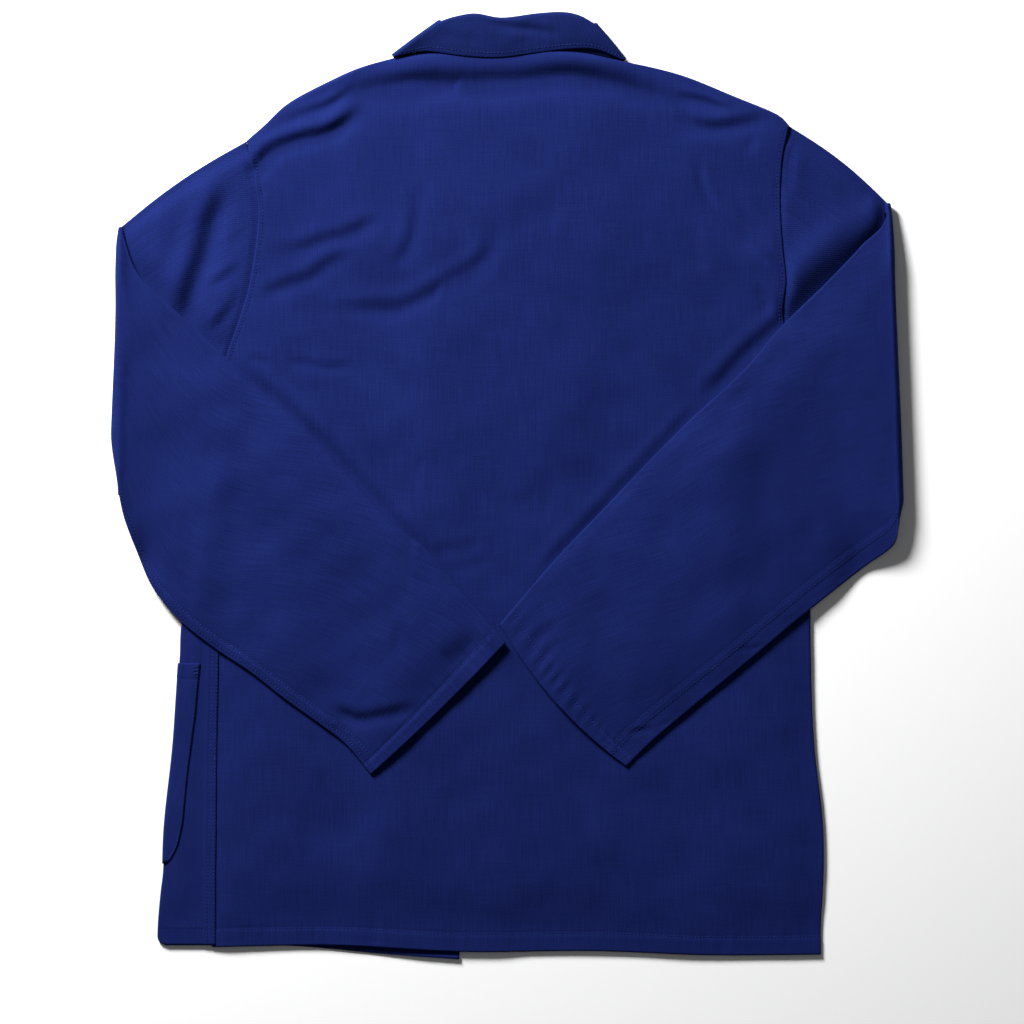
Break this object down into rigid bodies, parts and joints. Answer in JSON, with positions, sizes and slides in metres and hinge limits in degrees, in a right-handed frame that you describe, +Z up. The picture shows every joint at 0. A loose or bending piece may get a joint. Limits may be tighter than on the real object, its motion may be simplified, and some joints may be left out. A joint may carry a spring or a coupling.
{
  "type": "chore jacket",
  "caption": "Cotton twill chore jacket laid on its front, with turned-down collar, sleeves folded across the back and patch hip pockets underneath.",
  "frame": {"origin": "middle of the jacket's outline, on the table it lies on", "axes": "+Y from hem to collar, +X towards the wearer's right, +Z up from the table, out of the jacket's back"},
  "size_m": [0.6811, 0.8152, 0.0189],
  "materials": {
    "twill": "matt cotton twill with a faint purple sheen, deep ink blue",
    "collar_twill": "the same cotton twill, two layers sewn together",
    "button": "satin dark blue four-hole button"
  },
  "bodies": {
    "root": {"back": "twill", "front_left": "twill", "front_right": "twill", "sleeve_left": "twill", "sleeve_right": "twill", "pocket_left": "twill", "pocket_right": "twill", "collar": "collar_twill", "button_1": "button", "button_2": "button", "button_3": "button", "button_4": "button", "button_5": "button"}
  },
  "joints": []
}
